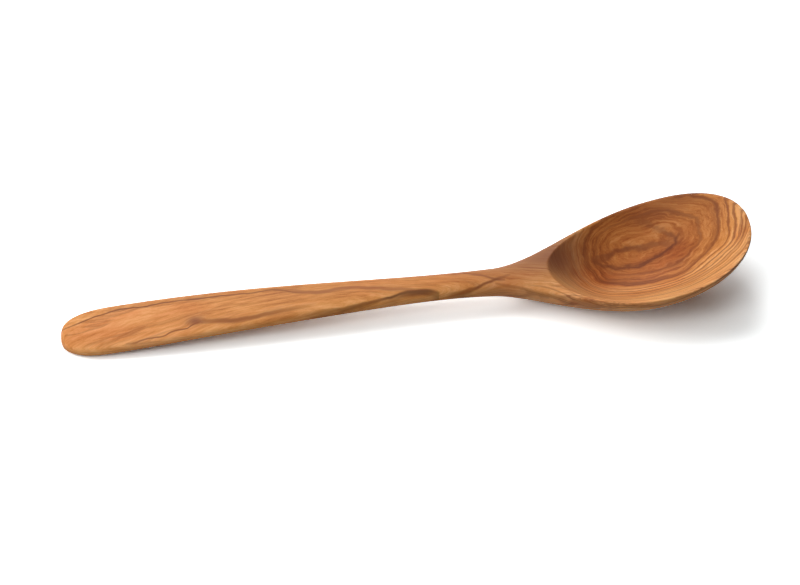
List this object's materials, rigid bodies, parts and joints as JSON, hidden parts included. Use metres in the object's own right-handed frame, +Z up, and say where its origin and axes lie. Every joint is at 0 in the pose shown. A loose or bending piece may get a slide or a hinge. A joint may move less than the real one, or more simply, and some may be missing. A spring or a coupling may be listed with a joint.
{
  "type": "wooden spoon",
  "caption": "Wooden cook's spoon carved from one piece: broad flat handle end, slim oval neck, egg-shaped bowl with a hollow.",
  "frame": {"origin": "on the table under the middle of the spoon: midway between the handle end and the bowl's tip, on the centre line", "axes": "+X along the spoon towards the bowl's tip, +Y across, +Z up out of the bowl"},
  "size_m": [0.2998, 0.062, 0.034],
  "materials": {
    "olive_wood": "oiled, satin"
  },
  "bodies": {
    "root": {"spoon": "olive_wood"}
  },
  "joints": []
}
